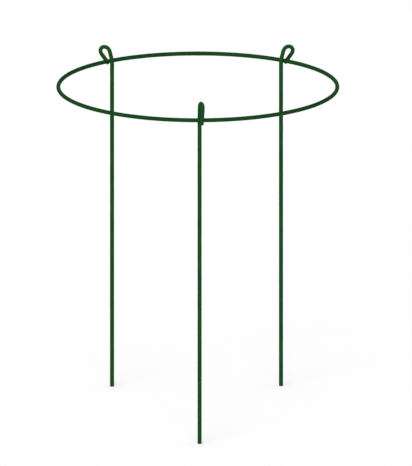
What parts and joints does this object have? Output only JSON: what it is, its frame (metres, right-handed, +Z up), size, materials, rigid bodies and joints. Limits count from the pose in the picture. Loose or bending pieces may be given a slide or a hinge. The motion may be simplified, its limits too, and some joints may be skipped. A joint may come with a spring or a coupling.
{
  "type": "plant support ring stake",
  "caption": "Round ring of green plastic-coated steel wire, carried by wire stakes whose bent eyes slide round it; stands in soil and holds a plant's stems together.",
  "frame": {"origin": "on the ring's axis at the level of the feet; the front eye stands out, so the box's centre lies 3 mm in front of it", "axes": "+Z up along the ring's axis, -Y towards the front stake, +X to the right seen from the front"},
  "size_m": [0.3999, 0.4063, 0.4989],
  "materials": {
    "green_coat": "satin dark green PVC coat",
    "steel_wire": "drawn steel wire"
  },
  "bodies": {
    "ring": {"ring_core": "steel_wire", "ring_coating": "green_coat"},
    "left_stake": {"left_stake_core": "steel_wire", "left_stake_coating": "green_coat"},
    "right_stake": {"right_stake_core": "steel_wire", "right_stake_coating": "green_coat"},
    "front_stake": {"front_stake_core": "steel_wire", "front_stake_coating": "green_coat"}
  },
  "joints": [
    {"name": "left_slide_round", "type": "hinge", "parent": "ring", "child": "left_stake", "pos_m": [0, 0, 0.472], "axis": [0, 0, 1], "range_deg": [-36, 65]},
    {"name": "right_slide_round", "type": "hinge", "parent": "ring", "child": "right_stake", "pos_m": [0, 0, 0.472], "axis": [0, 0, 1], "range_deg": [-65, 36]},
    {"name": "front_slide_round", "type": "hinge", "parent": "ring", "child": "front_stake", "pos_m": [0, 0, 0.472], "axis": [0, 0, 1], "range_deg": [-65, 65]}
  ]
}
